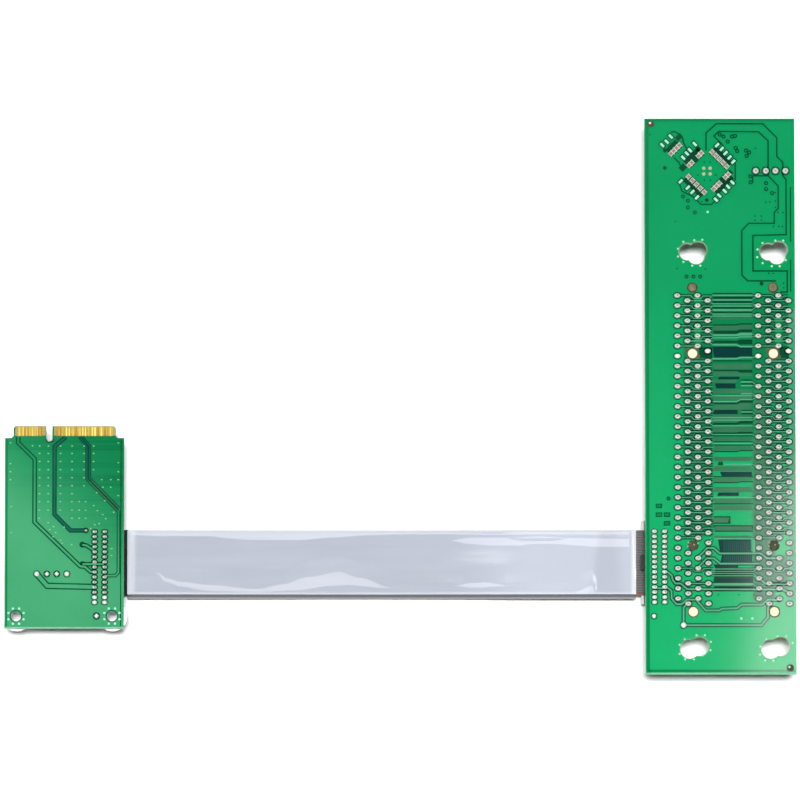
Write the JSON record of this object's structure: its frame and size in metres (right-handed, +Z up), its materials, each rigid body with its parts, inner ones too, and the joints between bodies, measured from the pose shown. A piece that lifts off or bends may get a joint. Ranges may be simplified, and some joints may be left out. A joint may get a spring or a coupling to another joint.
{
  "type": "bus adapter card",
  "caption": "Adapter card: a small edge-connector card joined by a flat wrapped ribbon to a riser board with bus slots, lying solder side up.",
  "frame": {"origin": "middle of the bounding box on the surface that the slot mouths and the small card's plug clamp stand on", "axes": "+X along the ribbon from the small card to the riser, +Y along the riser towards its power inlet, +Z up through the boards to the solder side"},
  "size_m": [0.1988, 0.14, 0.0137],
  "materials": {
    "board_green": "glossy green solder mask over glass-fibre board",
    "gold": "gold-plated contacts",
    "contact_metal": "gold-flashed spring contacts",
    "pin_metal": "tin-plated pins",
    "solder": "bright solder",
    "ivory_plastic": "moulded ivory plastic",
    "black_plastic": "moulded black plastic",
    "grey_plastic": "moulded light grey plastic",
    "white_plastic": "moulded white nylon",
    "ribbon_grey": "ribbed grey ribbon",
    "film_silver": "glossy pale film",
    "chip_black": "moulded chip package",
    "ceramic": "brown ceramic with silver ends"
  },
  "bodies": {
    "root": {"riser_board": "board_green", "slot_1_housing": "ivory_plastic", "slot_1_contacts": "contact_metal", "slot_1_solder": "solder", "slot_2_housing": "ivory_plastic", "slot_2_contacts": "contact_metal", "slot_2_solder": "solder", "riser_header_base": "black_plastic", "riser_header_pins": "pin_metal", "riser_header_solder": "solder", "riser_plug_body": "black_plastic", "riser_plug_clamp": "grey_plastic", "riser_plug_contacts": "contact_metal", "power_header_body": "white_plastic", "power_header_pins": "pin_metal", "power_header_solder": "solder", "bridge_chip": "chip_black", "chip_capacitors": "ceramic", "mini_card_board": "board_green", "mini_card_edge_contacts": "gold", "mini_card_solder": "solder", "mini_header_base": "black_plastic", "mini_header_pins": "pin_metal", "mini_plug_body": "black_plastic", "mini_plug_clamp": "grey_plastic", "mini_plug_contacts": "contact_metal", "ribbon_cable": "ribbon_grey", "cable_film": "film_silver"}
  },
  "joints": []
}
